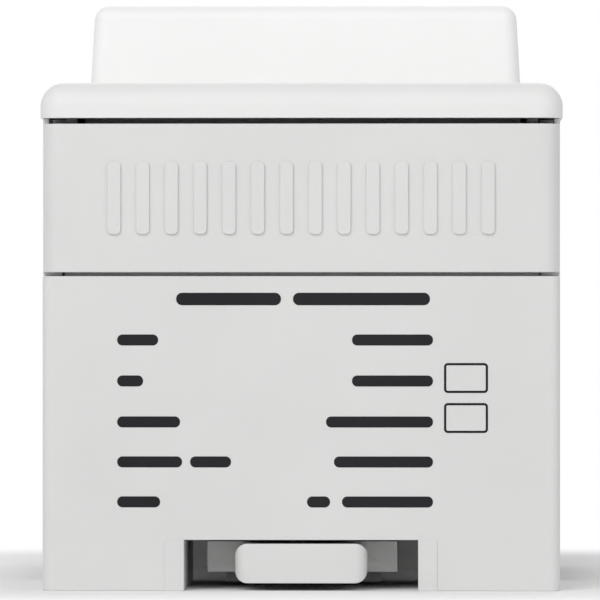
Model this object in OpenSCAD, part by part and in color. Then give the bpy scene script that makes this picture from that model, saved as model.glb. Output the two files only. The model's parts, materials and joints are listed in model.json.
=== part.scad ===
// Surge arrester in a three module housing for a 35 mm top hat rail.
// X runs along the rail, Y up the installed device and Z from its back to its front.
// The origin is the middle of the back plane. The end with the rail clip faces -Y.

/* [Housing] */
// Width along the rail, three modules
body_w = 54; // [52:0.5:58]
// Height of the device from end wall to end wall
body_l = 90; // [88:0.5:98]
// Thickness of the moulded walls
wall = 2; // [1.6:0.1:2.4]
// Height of the base up to the seam below the end guards
base_h = 32.8; // [32:0.2:36]
// Radius of the base's upright corners
base_corner_r = 1; // [0.5:0.1:1.6]
// Open seam between base, guards and cover
seam = 0.4; // [0.2:0.1:0.6]
// Height of the end guards
guard_h = 15.5; // [14.8:0.1:18]
// Length of the guards' returns along the sides
guard_return = 9; // [7:0.5:10]
// Thickness of the rims that close the seams beside the returns
rim_t = 0.6; // [0.4:0.1:1.2]
// Radius of the guards' upright corners
guard_corner_r = 1.9; // [0.8:0.1:1.9]
// Thickness of the guards' inner tongues
tongue_t = 1.2; // [0.8:0.1:1.5]
// Depth of the guards' tongues behind base and cover
tongue_drop = 1.8; // [1.2:0.1:1.8]
// Width of the closed guard's side tongues
side_tongue_w = 4; // [3:0.2:5]

/* [Grip ribs] */
// Number of raised ribs on the closed guard
rib_count = 14; // [6:2:16]
// Distance between the ribs
rib_pitch = 3; // [2.4:0.1:3.2]
// Width of a rib
rib_w = 1.4; // [0.8:0.1:2]
// Height of a rib
rib_h = 7.6; // [5:0.2:11]
// Radius of a rib's corners
rib_r = 0.5; // [0.2:0.05:0.6]
// How far a rib stands out
rib_proud = 0.3; // [0.1:0.05:0.3]

/* [Front cover] */
// Gap between the guards and the cover's lip
lip_gap = 0.6; // [0.5:0.1:1.2]
// Height of the lip's edge
lip_h = 3.7; // [3.5:0.1:4.5]
// How far the lip stands out past the walls
lip_over = 0.3; // [0.3:0.05:0.8]
// Radius of the lip's upper edge
lip_r = 2.5; // [1:0.1:2.5]
// Radius of the lip's corners seen from the front
lip_corner_r = 2.6; // [2.5:0.1:3]
// Width of the nose at its root
nose_w = 46.5; // [45:0.5:48]
// Length of the nose at its root
nose_l = 45; // [44:0.5:50]
// Height of the nose above the shoulders
nose_h = 9; // [8:0.2:14]
// Draft of the nose's sides, over its height
nose_draft = 0.5; // [0:0.1:1]
// Radius of the nose's edges
nose_r = 1.6; // [0.8:0.1:2]
// Thickness of the brace under the shoulder
brace_t = 1.2; // [0.8:0.1:2]
// Height of the brace under the shoulder
brace_h = 4; // [2:0.1:4.5]
// Distance of the brace from the end wall's inside
brace_setback = 7; // [3:0.5:8]
// Place of the snap tongues from the middle
latch_y = 20; // [16:0.5:21]
// Width of a snap tongue
latch_w = 6.4; // [4:0.2:7]
// Thickness of a snap tongue
latch_t = 1.2; // [0.8:0.1:1.6]
// Length of a snap tongue below its barb
latch_tip = 1; // [0.5:0.1:1.5]
// Height of a snap tongue's root on the skirt
latch_root = 4; // [3:0.2:6]
// Height of the snap windows in the base
latch_h = 2.2; // [1.8:0.1:3]
// Depth of the snap windows below the base's rim
latch_drop = 4.6; // [4:0.2:7]

/* [Rail foot] */
// Width of the top hat rail
rail_w = 35; // [34.5:0.1:35.5]
// Play of the rail in its recess
rail_play = 0.5; // [0.3:0.1:0.8]
// Thickness of the rail's edge
rail_t = 1; // [0.8:0.1:1.5]
// Height of the face that sits on the rail
rail_seat_z = 5.8; // [5.7:0.1:7]
// Thickness of the floor above the rail
floor_t = 2; // [1.6:0.1:3]
// Reach of hooks and clip behind the rail's edge
hook_reach = 2.2; // [1.5:0.1:2.6]
// Width of a fixed hook
hook_w = 12; // [8:0.5:14]
// Distance between the middles of the fixed hooks
hook_span = 26; // [24:0.5:34]
// Lowest point of the hooks at their root
hook_z = 0.9; // [0.6:0.1:1.4]
// Width of the clip's channel
channel_w = 24.4; // [23:0.2:26]
// Height of the clip's channel
channel_h = 5.3; // [5.1:0.1:5.6]
// Width of the pads beside the channel's mouth
mouth_pad_w = 2; // [1:0.2:3]
// How far the mouth pads stand out
mouth_pad_proud = 0.15; // [0.05:0.05:0.25]
// Largest width of the cored pockets in the foot
core_w_max = 7.2; // [5:0.2:8]
// Thickness of the ribs between the pockets
core_rib = 1.6; // [1.2:0.1:2.4]

/* [Rail clip] */
// Travel of the clip when it is pulled
clip_travel = 4.5; // [3.5:0.1:5]
// Width of the clip's body
clip_w = 20; // [18:0.5:21]
// Lowest face of the clip's body
clip_z0 = 1.7; // [1.6:0.1:2]
// Highest face of the clip
clip_z1 = 4.9; // [4.7:0.1:5]
// Length of the pull tab
tab_l = 7.6; // [4:0.1:8.5]
// Width of the pull tab
tab_w = 13.8; // [11:0.1:16]
// Lowest face of the pull tab
tab_z0 = 0.8; // [0.5:0.1:1.2]
// Radius of the pull tab's corners
tab_r = 1.3; // [0.5:0.1:1.6]
// Width of the lever pocket under the tab
lever_w = 6.8; // [5:0.2:8]
// Depth of the lever pocket above the clip's lowest face
lever_d = 1; // [0.6:0.1:1.4]
// Wall before and behind the lever pocket
lever_wall = 1; // [0.8:0.1:1.4]
// Distance of the guide posts from the middle
post_x = 6; // [5.5:0.1:6.4]
// Width of a guide post's stem
post_w = 2.4; // [2:0.1:2.8]
// Width of a guide post's head
post_head_w = 4.4; // [4:0.1:5]
// Height of a guide post's head
post_head_h = 1; // [0.8:0.1:1.1]
// Distance of the guide posts from the end wall
post_y = 14; // [13.5:0.1:15]
// Mean radius of the clip's spring
clip_coil_r = 1.2; // [1:0.05:1.3]
// Radius of the clip spring's wire
clip_wire_r = 0.3; // [0.2:0.05:0.3]
// Turns of the clip's spring
clip_coil_turns = 9; // [6:1:11]
// Depth of the clip spring's axis below the channel's ceiling
clip_coil_drop = 0.85; // [0.7:0.05:1]
// Thickness of the rib that the clip's spring pushes on
abutment_t = 1.2; // [1:0.1:1.4]
// Thickness of the clip behind its spring
coil_stop_t = 1.6; // [1.2:0.1:2.4]

/* [Terminals] */
// Thickness of the barriers between the terminals
barrier_t = 1.1; // [0.8:0.1:1.3]
// Length of the terminal block
block_l = 13.6; // [13:0.1:14]
// Distance of the terminal block from the end wall's inside
block_setback = 1.8; // [1.7:0.1:2]
// Depth of the terminal block below the base's rim
block_sink = 2.6; // [2.4:0.1:3]
// Depth of the terminal block's seat on the end wall's ledge
ledge_l = 1; // [0.6:0.1:1.4]
// Thickness of the terminal block's floor and back
block_t = 1.4; // [1:0.1:1.6]
// Length of a clamp cage
cage_l = 10; // [9:0.2:10.2]
// Height of a clamp cage
cage_h = 11.6; // [11:0.1:12]
// Radius of a clamp cage's folded edges
cage_r = 0.8; // [0.4:0.1:1]
// Side walls of a clamp cage
cage_wall = 1; // [0.8:0.1:1.2]
// Floor of a clamp cage
cage_floor = 1.5; // [1.2:0.1:1.8]
// Threaded top plate of a clamp cage
cage_top = 2; // [1.6:0.1:2.4]
// Radius of a terminal screw
screw_r = 2.45; // [2:0.05:2.5]
// Radius of a terminal screw's head
screw_head_r = 3.6; // [3.4:0.05:3.7]
// Height of a terminal screw's head
screw_head_h = 2.2; // [1.8:0.1:2.4]
// Chamfer at a terminal screw's head and tip
screw_chamfer = 0.4; // [0.2:0.05:0.6]
// Width of the cross recess in a screw's head
cross_w = 1; // [0.8:0.1:1.2]
// Length of the cross recess in a screw's head
cross_l = 4.2; // [3.4:0.1:4.6]
// Depth of the cross recess in a screw's head
cross_d = 1.3; // [0.8:0.1:1.5]
// Radius of the access holes above the screws
access_r = 3.1; // [2.8:0.05:3.2]
// Width of a cable notch in the terminal guard
entry_w = 6.6; // [5.6:0.1:7]
// Height of a cable notch in the terminal guard
entry_h = 6.8; // [6.4:0.1:8]

/* [Conductors] */
// Thickness of the copper bars
bar_t = 1.4; // [1:0.1:1.6]
// Play beside a terminal tongue in its cage
tongue_play = 0.25; // [0.2:0.05:0.5]
// Distance from a tongue's end to the mouth of its cage
tongue_inset = 1; // [0.5:0.1:2]
// Inner radius of the phase bars' bends
bar_bend_r = 0.8; // [0.4:0.1:1.1]
// Length of the flange under a contact arm
flange_l = 4.5; // [3.5:0.1:5.5]
// Distance from the varistors to the phase bars
riser_gap = 2.1; // [1.5:0.1:3]
// Width of the long side bars
side_bar_w = 6; // [4:0.2:7]
// Width of the legs on the side bars
side_leg_w = 8; // [6:0.5:10]
// Thickness of the contact arms
arm_t = 0.8; // [0.5:0.1:1]
// Width of the contact arms
arm_w = 5; // [3:0.2:5.2]
// Radius of the rivets on the contact arms
rivet_r = 1.25; // [0.8:0.05:1.4]

/* [Varistors] */
// Height of a varistor block
mov_h = 34; // [32:0.5:35]
// Clearance beside a varistor block
mov_play = 0.25; // [0.2:0.05:0.6]
// Radius of a varistor block's corners
mov_r = 3; // [1:0.5:6]
// Distance from the varistors to the terminal block
mov_setback = 7.1; // [6.6:0.1:8]
// Width of a varistor's top terminal
lug_w = 5; // [4:0.2:6]
// Thickness of a varistor's terminals
lug_t = 2; // [1:0.1:2.4]
// Height of the varistors' common terminals
common_z = 20; // [14:0.5:24]
// Width of the varistors' common terminals
common_w = 6; // [4:0.5:8]
// Length of the varistors' common terminals
common_l = 1.9; // [1.6:0.1:2.4]
// Thickness of the carrier's walls
carrier_t = 1.2; // [1:0.1:1.3]
// Thickness of the carrier's deck
deck_t = 1.6; // [1.2:0.1:2]
// Height of the guides above the indicators' feet
guide_over = 1; // [0.6:0.1:1.4]
// Height of the contact arms above the deck
arm_lift = 2.2; // [2.1:0.1:2.6]

/* [Gas tube] */
// Radius of the ceramic body
tube_r = 10; // [8:0.2:10.4]
// Length of the ceramic body
tube_l = 24; // [20:0.5:28]
// Length over both electrodes
tube_span = 33.8; // [32.8:0.1:35]
// Radius of the electrodes
electrode_r = 7; // [5:0.2:7.6]
// Distance of the tube from the end wall's inside
tube_setback = 1; // [0.6:0.1:2]
// Height of the tube's axis above the floor
tube_lift = 10.2; // [10.1:0.1:12]
// Step from the ceramic body to the electrodes' rims
ring_step = 1; // [0.6:0.1:1.4]
// Distance of the cradle ribs from the middle
cradle_x = 8; // [5:0.5:9]
// Length of the cradle ribs from the end wall's inside
cradle_l = 20; // [16:0.5:20]
// Height of the cradle ribs above the floor
cradle_h = 5.2; // [4:0.1:6]
// Distance from the tube to the strip along the varistors
tube_clear = 5.2; // [3:0.1:8]

/* [Trip indicators] */
// Travel of an indicator when its varistor is cut off
trip_travel = 7; // [6.8:0.1:7.4]
// Side of an indicator window
window_w = 6; // [5:0.1:6.2]
// Place of the windows' middles
window_y = 6.2; // [5.6:0.1:6.6]
// Width of the flange under a window
flange_w = 1; // [0.6:0.1:1.2]
// Thickness of the flange under a window
flange_t = 0.8; // [0.6:0.1:1]
// Thickness of an indicator's flag
flag_t = 1; // [0.8:0.1:1.4]
// How far a flag reaches past the window's edges
flag_over = 0.4; // [0.2:0.1:0.5]
// Thickness of the red backing below the flags
backing_t = 1; // [0.6:0.1:1.4]
// Length of the posts under the red backing
backing_post_l = 4; // [3:0.2:6]
// Distance from the red backing to the flags
backing_gap = 1.3; // [0.8:0.1:2]
// Length of an indicator's foot
foot_l = 8.4; // [7:0.2:10]
// Thickness of an indicator's foot
foot_t = 1.5; // [1:0.1:1.8]
// Width of an indicator's post
post_flag_w = 3; // [2.4:0.1:4]
// Thickness of an indicator's post
post_flag_t = 1.5; // [1.2:0.1:2]
// Length of a trip spring
trip_coil_l = 11.4; // [11:0.1:13]
// Mean radius of a trip spring
trip_coil_r = 1.5; // [1:0.05:1.6]
// Radius of a trip spring's wire
trip_wire_r = 0.22; // [0.15:0.01:0.25]
// Turns of a trip spring
trip_coil_turns = 9; // [6:1:10]
// Thickness of the spring anchors on the deck
anchor_t = 1.5; // [1:0.1:2]

/* [Fits] */
// Clearance between parts that move past each other
run_gap = 0.3; // [0.25:0.05:0.4]
// Clearance between parts that are fixed to each other
fit = 0.2; // [0.1:0.05:0.3]
// Radial clearance of the screws in their threads
thread_gap = 0.05; // [0.02:0.01:0.08]

/* [Hidden] */
$fn = 48;
pole_count = 5;
phase_count = 3;

// Colours of the real materials
light_grey = "#d9dadb";
cover_grey = "#f0f1f1";
block_grey = "#5c6064";
zinc = "#b9bcc0";
copper = "#b8744a";
varistor_blue = "#2f5f9e";
ceramic_white = "#e9e6df";
flag_green = "#2f9a45";
fault_red = "#c62a24";
clear_grey = "#cfd8dc";

// Overlap that joins solids of one piece
bite = 0.1;
// Length that a cut runs on past the face it opens
past = 1;

// Inside of the housing
inner_w = body_w - 2 * wall;
inner_l = body_l - 2 * wall;
floor_z = rail_seat_z + floor_t;

// Levels from the seam up to the top of the nose
guard_z0 = base_h + seam;
guard_z1 = guard_z0 + guard_h;
lip_z0 = guard_z1 + lip_gap;
shoulder_z = lip_z0 + lip_h;
shoulder_under = shoulder_z - wall;
nose_z = shoulder_z + nose_h;
nose_under = nose_z - wall;
skirt_l = body_l - 2 * guard_return - 2 * seam;

// Rail recess, hooks and clip
recess_y = (rail_w + rail_play) / 2;
hook_tip_y = rail_w / 2 - hook_reach;
hook_top_z = rail_seat_z - rail_t - fit;
clip_back_y = -recess_y - run_gap / 2;
clip_front_y = -body_l / 2;
slot_y0 = -body_l / 2 + post_y - run_gap;
slot_l = post_w + clip_travel + 2 * run_gap;
post_pass_w = post_w + 2 * run_gap;
coil_groove_w = 2 * (clip_coil_r + clip_wire_r + run_gap);
coil_axis_z = channel_h - clip_coil_drop;
coil_pocket_z = coil_axis_z - clip_coil_r - clip_wire_r - run_gap;
coil_roof_z = coil_axis_z + clip_coil_r + clip_wire_r + run_gap;
abutment_y = -body_l / 2 + post_y - post_w / 2;
coil_end_y = clip_back_y - coil_stop_t;

// Terminals
block_w = inner_w - 2 * fit;
pole_pitch = (block_w - barrier_t) / pole_count;
pole_x = [for (i = [0:pole_count - 1]) (i - (pole_count - 1) / 2) * pole_pitch];
phase_x = [for (i = [0:phase_count - 1]) (i - (phase_count - 1) / 2) * pole_pitch];
block_y1 = inner_l / 2 - block_setback;
block_y0 = block_y1 - block_l;
block_z0 = base_h - block_sink;
block_z1 = shoulder_under - run_gap - fit;
cage_w = pole_pitch - barrier_t - 2 * run_gap;
bar_w = cage_w - 2 * (cage_wall + tongue_play);
cage_y0 = block_y0 + block_t + run_gap;
cage_y1 = cage_y0 + cage_l;
cage_z0 = block_z0 + block_t + run_gap;
cage_z1 = cage_z0 + cage_h;
screw_y = (cage_y0 + cage_y1) / 2;
tongue_z1 = cage_z1 - cage_top - run_gap;
tongue_z0 = tongue_z1 - bar_t;
tongue_y1 = cage_y1 - tongue_inset;
screw_z1 = shoulder_under - run_gap;
head_z0 = screw_z1 - screw_head_h;

// Gas tube and the bars along the sides
tube_y = -inner_l / 2 + tube_setback + tube_r;
tube_z = floor_z + tube_lift;
side_bar_x = tube_span / 2;
common_y = tube_y + tube_r + tube_clear + bar_t;

// Varistors, carrier and trip gear
mov_t = pole_pitch - carrier_t - 2 * mov_play;
mov_y0 = common_y + common_l;
mov_y1 = block_y0 - mov_setback;
mov_z0 = floor_z + fit;
mov_z1 = mov_z0 + mov_h;
lug_y = (mov_y0 + mov_y1) / 2;
deck_z0 = mov_z1 + 2 * fit;
deck_z1 = deck_z0 + deck_t;
arm_z0 = deck_z1 + arm_lift;
arm_z1 = arm_z0 + arm_t;
riser_y0 = mov_y1 + riser_gap;
riser_y1 = riser_y0 + bar_t;
guide_x = [for (i = [0:phase_count]) (i - phase_count / 2) * pole_pitch];
foot_w = pole_pitch - carrier_t - 2 * run_gap;
foot_y1 = lug_y - lug_w / 2 - 2 * run_gap;
foot_y0 = foot_y1 - foot_l;
foot_z0 = deck_z1 + run_gap;
foot_z1 = foot_z0 + foot_t;
guide_z1 = foot_z1 + guide_over;
anchor_y1 = foot_y0 - trip_coil_l - 2 * run_gap;
anchor_y0 = anchor_y1 - anchor_t;
trip_axis_z = foot_z1 + run_gap + trip_coil_r + trip_wire_r;
anchor_z1 = trip_axis_z + trip_coil_r + trip_wire_r;
window_flange_z = nose_under - flange_t;
flag_z1 = window_flange_z - run_gap - fit;
flag_z0 = flag_z1 - flag_t;
flag_w = window_w + 2 * flag_over;
flag_y1 = window_y + window_w / 2 + flag_over;
backing_z1 = flag_z0 - backing_gap;
backing_z0 = backing_z1 - backing_t;

// Facets of the coil springs
coil_steps = 9;
coil_sides = 6;

// Box from its lowest to its highest corner
module block(low, high) {
    translate(low)
        cube(high - low);
}

// Rectangle about the origin with round corners
module round_rect(w, l, r) {
    square([w - 2 * r, l], center = true);
    square([w, l - 2 * r], center = true);
    for (x = [-1, 1], y = [-1, 1])
        translate([x * (w / 2 - r), y * (l / 2 - r)])
            circle(r);
}

// Outline in Y and Z, drawn out along X about a middle
module along_x(x, w) {
    translate([x - w / 2, 0, 0])
        rotate([90, 0, 90])
            linear_extrude(w)
                children();
}

// Outline in X and Z, drawn out along Y about a middle
module along_y(y, l) {
    translate([0, y + l / 2, 0])
        rotate([90, 0, 0])
            linear_extrude(l)
                children();
}

// Coil spring along Z from the origin
module coil(length, r, wire_r, turns) {
    steps = turns * coil_steps;
    rise = (length - 2 * wire_r) / steps;
    points = [
        for (i = [0:steps], k = [0:coil_sides - 1])
            let (a = 360 * i / coil_steps, b = 360 * k / coil_sides, d = r + wire_r * cos(b))
            [d * cos(a), d * sin(a), wire_r + rise * i + wire_r * sin(b)]
    ];
    lower = [
        for (i = [0:steps - 1], k = [0:coil_sides - 1])
            let (n = (k + 1) % coil_sides, p = i * coil_sides)
            [p + k, p + n, p + coil_sides + n]
    ];
    upper = [
        for (i = [0:steps - 1], k = [0:coil_sides - 1])
            let (n = (k + 1) % coil_sides, p = i * coil_sides)
            [p + k, p + coil_sides + n, p + coil_sides + k]
    ];
    first_end = [for (k = [0:coil_sides - 1]) coil_sides - 1 - k];
    last_end = [for (k = [0:coil_sides - 1]) steps * coil_sides + k];
    polyhedron(points, concat([first_end, last_end], lower, upper));
}

// Tray of the base with the seats for what it holds
module base_tray() {
    difference() {
        linear_extrude(base_h)
            round_rect(body_w, body_l, base_corner_r);
        block([-inner_w / 2, -inner_l / 2, floor_z], [inner_w / 2, inner_l / 2, base_h + past]);
    }
    // Partition and ledge under the terminal block
    block(
        [-inner_w / 2 - bite, block_y0, floor_z - bite],
        [inner_w / 2 + bite, block_y0 + block_t, block_z0]
    );
    block(
        [-inner_w / 2 - bite, block_y1 - ledge_l, block_z0 - wall],
        [inner_w / 2 + bite, inner_l / 2 + bite, block_z0]
    );
    // Cradle ribs below the gas tube
    for (x = [-cradle_x, cradle_x])
        difference() {
            block(
                [x - wall / 2, -inner_l / 2 - bite, floor_z - bite],
                [x + wall / 2, -inner_l / 2 + cradle_l, floor_z + cradle_h]
            );
            translate([x - wall, tube_y, tube_z])
                rotate([0, 90, 0])
                    cylinder(h = 2 * wall, r = tube_r + fit);
        }
    // Pads beside the mouth of the clip's channel
    for (x = [-1, 1])
        translate([x * (channel_w + mouth_pad_w) / 2, 0, 0])
            block(
                [-mouth_pad_w / 2, -body_l / 2 - mouth_pad_proud, 0],
                [mouth_pad_w / 2, -body_l / 2 + bite, channel_h]
            );
}

// Row of cored pockets in the foot, between two edges along X
module core_row(x0, x1, y0, y1) {
    count = ceil((x1 - x0 + core_rib) / (core_w_max + core_rib));
    step = (x1 - x0 + core_rib) / count;
    for (i = [0:count - 1])
        block([x0 + i * step, y0, -past], [x0 + (i + 1) * step - core_rib, y1, floor_z - floor_t]);
}

// Spaces that the foot leaves for rail, clip and moulding
module foot_cuts() {
    mouth_x = channel_w / 2 + wall;
    wing_y = recess_y + wall;
    block([-body_w, -recess_y, -past], [body_w, recess_y, rail_seat_z]);
    block([-channel_w / 2, -body_l, -past], [channel_w / 2, -recess_y + bite, channel_h]);
    block(
        [-coil_groove_w / 2, abutment_y - bite, channel_h - bite],
        [coil_groove_w / 2, -recess_y + bite, coil_roof_z]
    );
    core_row(-inner_w / 2, inner_w / 2, wing_y, inner_l / 2);
    core_row(-inner_w / 2, -mouth_x, -inner_l / 2, -wing_y);
    core_row(mouth_x, inner_w / 2, -inner_l / 2, -wing_y);
}

// Fixed hooks, guide posts and spring abutment below the floor
module foot_fittings() {
    for (x = [-hook_span / 2, hook_span / 2])
        along_x(x, hook_w)
            polygon([
                [recess_y + wall / 2, hook_top_z],
                [hook_tip_y, hook_top_z],
                [hook_tip_y, hook_top_z - rail_t],
                [recess_y, hook_z],
                [recess_y + wall / 2, hook_z]
            ]);
    for (x = [-post_x, post_x])
        translate([x, -body_l / 2 + post_y, 0]) {
            block([-post_w / 2, 0, clip_z0 - run_gap - post_head_h], [post_w / 2, post_w, channel_h + bite]);
            block(
                [-post_head_w / 2, 0, clip_z0 - run_gap - post_head_h],
                [post_head_w / 2, post_w, clip_z0 - run_gap]
            );
        }
    block(
        [-clip_coil_r, abutment_y, coil_pocket_z + run_gap],
        [clip_coil_r, abutment_y + abutment_t, coil_roof_z + bite]
    );
}

module base() {
    color(light_grey)
        union() {
            difference() {
                base_tray();
                foot_cuts();
                for (x = [-1, 1], y = [-latch_y, latch_y])
                    translate([x * body_w / 2, y, base_h - latch_drop])
                        block([-2 * wall, -latch_w / 2 - fit, 0], [2 * wall, latch_w / 2 + fit, latch_h]);
            }
            foot_fittings();
        }
}

// Edge profile of the lip, round at the top
module lip_profile(w) {
    tall = 2 * (lip_h + lip_r);
    intersection() {
        translate([-w / 2, lip_z0])
            square([w, lip_h]);
        translate([0, shoulder_z - tall / 2])
            round_rect(w, tall, lip_r);
    }
}

// Shoulder plate with its pillow edge, drawn out along the sides and revolved at the corners
module lip() {
    straight_w = body_w + 2 * (lip_over - lip_corner_r);
    straight_l = body_l + 2 * (lip_over - lip_corner_r);
    along_y(0, straight_l)
        lip_profile(straight_w + 2 * lip_corner_r);
    along_x(0, straight_w)
        lip_profile(straight_l + 2 * lip_corner_r);
    for (x = [0, 1], y = [0, 1])
        mirror([x, 0, 0])
            mirror([0, y, 0])
                translate([straight_w / 2, straight_l / 2, 0])
                    rotate_extrude(angle = 90)
                        intersection() {
                            lip_profile(2 * lip_corner_r);
                            translate([0, lip_z0])
                                square([lip_corner_r, lip_h]);
                        }
}

// Raised nose of the front with drafted sides and round edges
module nose() {
    hull()
        for (x = [-1, 1], y = [-1, 1]) {
            translate([x * (nose_w / 2 - nose_r), y * (nose_l / 2 - nose_r), shoulder_z - nose_r])
                sphere(nose_r, $fn = 32);
            translate([
                x * (nose_w / 2 - nose_draft - nose_r),
                y * (nose_l / 2 - nose_draft - nose_r),
                nose_z - nose_r
            ])
                sphere(nose_r, $fn = 32);
        }
}

// Snap tongue on a skirt, with its barb in the base's window
module snap_tongue() {
    tongue_x = inner_w / 2 - fit;
    tip_z = base_h - latch_drop;
    block([tongue_x - latch_t, -latch_w / 2, tip_z - latch_tip], [tongue_x, latch_w / 2, guard_z0 + bite]);
    block(
        [tongue_x - latch_t, -latch_w / 2, guard_z0],
        [inner_w / 2 + bite, latch_w / 2, guard_z0 + latch_root]
    );
    along_y(0, latch_w)
        polygon([
            [tongue_x - bite, tip_z + fit],
            [inner_w / 2 + wall / 2, tip_z + latch_h / 2],
            [inner_w / 2 + wall / 2, tip_z + latch_h - fit],
            [tongue_x - bite, tip_z + latch_h - fit]
        ]);
}

module front_cover() {
    nose_in_w = nose_w - 2 * (wall + nose_draft);
    nose_in_l = nose_l - 2 * (wall + nose_draft);
    brace_x = inner_w / 2 - fit - tongue_t - 2 * run_gap;
    color(cover_grey)
        union() {
            difference() {
                union() {
                    lip();
                    nose();
                    block([-body_w / 2, -skirt_l / 2, guard_z0], [body_w / 2, skirt_l / 2, lip_z0 + bite]);
                }
                block(
                    [-inner_w / 2, -inner_l / 2, guard_z0 - past],
                    [inner_w / 2, inner_l / 2, shoulder_under]
                );
                block(
                    [-nose_in_w / 2, -nose_in_l / 2, shoulder_under - bite],
                    [nose_in_w / 2, nose_in_l / 2, nose_under]
                );
                for (x = pole_x)
                    translate([x, screw_y, shoulder_under - past])
                        cylinder(h = wall + 2 * past, r = access_r);
                for (x = phase_x)
                    translate([x, window_y, 0])
                        block(
                            [-window_w / 2, -window_w / 2, nose_under - past],
                            [window_w / 2, window_w / 2, nose_z + past]
                        );
            }
            for (y = [-latch_y, latch_y], side = [0, 1])
                translate([0, y, 0])
                    mirror([side, 0, 0])
                        snap_tongue();
            // Brace that closes the view through the gap above the closed guard
            translate([0, -inner_l / 2 + brace_setback, shoulder_under])
                block([-brace_x, 0, -brace_h], [brace_x, brace_t, bite]);
        }
}

// Strip on an inner face at Y 0, with its root at one level and its tongue past the edge
module tongue_strip(w, root_z, tongue_z) {
    block([-w / 2, -bite, root_z], [w / 2, fit + tongue_t, root_z + wall]);
    block([-w / 2, fit, tongue_z], [w / 2, fit + tongue_t, tongue_z + tongue_drop + bite]);
}

// End guard at the -Y end: a panel, returns with rims at the sides, and a tongue behind the base's rim
module end_guard() {
    difference() {
        translate([0, 0, guard_z0])
            linear_extrude(guard_h)
                intersection() {
                    round_rect(body_w, body_l, guard_corner_r);
                    translate([-body_w, -body_l])
                        square([2 * body_w, body_l / 2 + guard_return]);
                }
        block([-inner_w / 2, -inner_l / 2, 0], [inner_w / 2, inner_l / 2, guard_z1 + past]);
    }
    for (side = [0, 1])
        mirror([side, 0, 0]) {
            block(
                [body_w / 2 - rim_t, guard_corner_r - body_l / 2, base_h + fit],
                [body_w / 2, guard_return - body_l / 2, lip_z0 - fit]
            );
            // Stop that closes the view along the base's rim
            block(
                [inner_w / 2, guard_return - rim_t - body_l / 2, base_h + fit],
                [body_w / 2, guard_return - body_l / 2, guard_z0 + bite]
            );
        }
    translate([0, -inner_l / 2, 0])
        tongue_strip(inner_w - 2 * fit, guard_z0, guard_z0 - tongue_drop);
}

// Guard with ribs for the fingers, and side tongues behind the cover's lip
module closed_guard() {
    color(light_grey)
        union() {
            end_guard();
            for (side = [0, 1])
                mirror([side, 0, 0])
                    translate([inner_w / 2, guard_return - fit - (body_l + side_tongue_w) / 2, 0])
                        rotate([0, 0, 90])
                            tongue_strip(side_tongue_w, guard_z1 - wall, guard_z1 - bite);
            for (i = [0:rib_count - 1])
                translate([(i - (rib_count - 1) / 2) * rib_pitch, 0, (guard_z0 + guard_z1) / 2])
                    along_y((bite - rib_proud - body_l) / 2, rib_proud + bite)
                        round_rect(rib_w, rib_h, rib_r);
        }
}

// Guard with a notch for each conductor, and one tongue behind the cover's lip
module terminal_guard() {
    color(light_grey)
        mirror([0, 1, 0])
            difference() {
                union() {
                    end_guard();
                    translate([0, -inner_l / 2, 0])
                        tongue_strip(inner_w - 2 * fit, guard_z1 - wall, guard_z1 - bite);
                }
                for (x = pole_x)
                    translate([x, -inner_l / 2, guard_z0])
                        block(
                            [-entry_w / 2, -wall - past, -tongue_drop - past],
                            [entry_w / 2, 2 * wall, entry_h]
                        );
            }
}

// Pull tab with round corners and round upright edges at its front
module pull_tab() {
    intersection() {
        along_y(clip_front_y + tab_l / 2, tab_l)
            translate([0, (tab_z0 + clip_z1) / 2])
                round_rect(tab_w, clip_z1 - tab_z0, tab_r);
        translate([0, clip_front_y + tab_l, 0])
            linear_extrude(clip_z1 + past)
                round_rect(tab_w, 2 * tab_l, tab_r);
    }
}

module rail_clip() {
    body_y0 = clip_front_y + tab_l - bite;
    jaw_z1 = hook_top_z;
    color(light_grey)
        difference() {
            union() {
                block([-clip_w / 2, body_y0, clip_z0], [clip_w / 2, clip_back_y, clip_z1]);
                pull_tab();
                along_x(0, clip_w)
                    polygon([
                        [clip_back_y - bite, clip_z0],
                        [clip_back_y, clip_z0],
                        [-hook_tip_y, jaw_z1 - rail_t],
                        [-hook_tip_y, jaw_z1],
                        [clip_back_y - bite, jaw_z1]
                    ]);
            }
            // Slots for the guide posts and pocket for the spring
            for (x = [-post_x, post_x])
                translate([x, slot_y0, 0])
                    block([-post_pass_w / 2, 0, 0], [post_pass_w / 2, slot_l, clip_z1 + past]);
            block(
                [-coil_groove_w / 2, abutment_y - run_gap, coil_pocket_z],
                [coil_groove_w / 2, coil_end_y, clip_z1 + past]
            );
            // Lever pocket in the underside of the tab
            block(
                [-lever_w / 2, clip_front_y + lever_wall, 0],
                [lever_w / 2, clip_front_y + tab_l - lever_wall, clip_z0 + lever_d]
            );
        }
}

module clip_spring() {
    spring_y0 = abutment_y + abutment_t + run_gap;
    color(zinc)
        translate([0, coil_end_y - run_gap, coil_axis_z])
            rotate([90, 0, 0])
                coil(coil_end_y - run_gap - spring_y0, clip_coil_r, clip_wire_r, clip_coil_turns);
}

// Comb of insulation that guides the cages and holds the tongues
module terminal_block() {
    color(block_grey)
        difference() {
            union() {
                block([-block_w / 2, block_y0, block_z0], [block_w / 2, block_y1, block_z0 + block_t]);
                block([-block_w / 2, block_y0, block_z0], [block_w / 2, block_y0 + block_t, block_z1]);
                for (i = [0:pole_count])
                    translate([-block_w / 2 + i * pole_pitch, 0, 0])
                        block([0, block_y0, block_z0], [barrier_t, block_y1, block_z1]);
            }
            for (x = pole_x)
                block(
                    [x - bar_w / 2 - fit / 2, block_y0 - past, tongue_z0 - fit / 2],
                    [x + bar_w / 2 + fit / 2, block_y0 + block_t + past, tongue_z1 + fit / 2]
                );
        }
}

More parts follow.
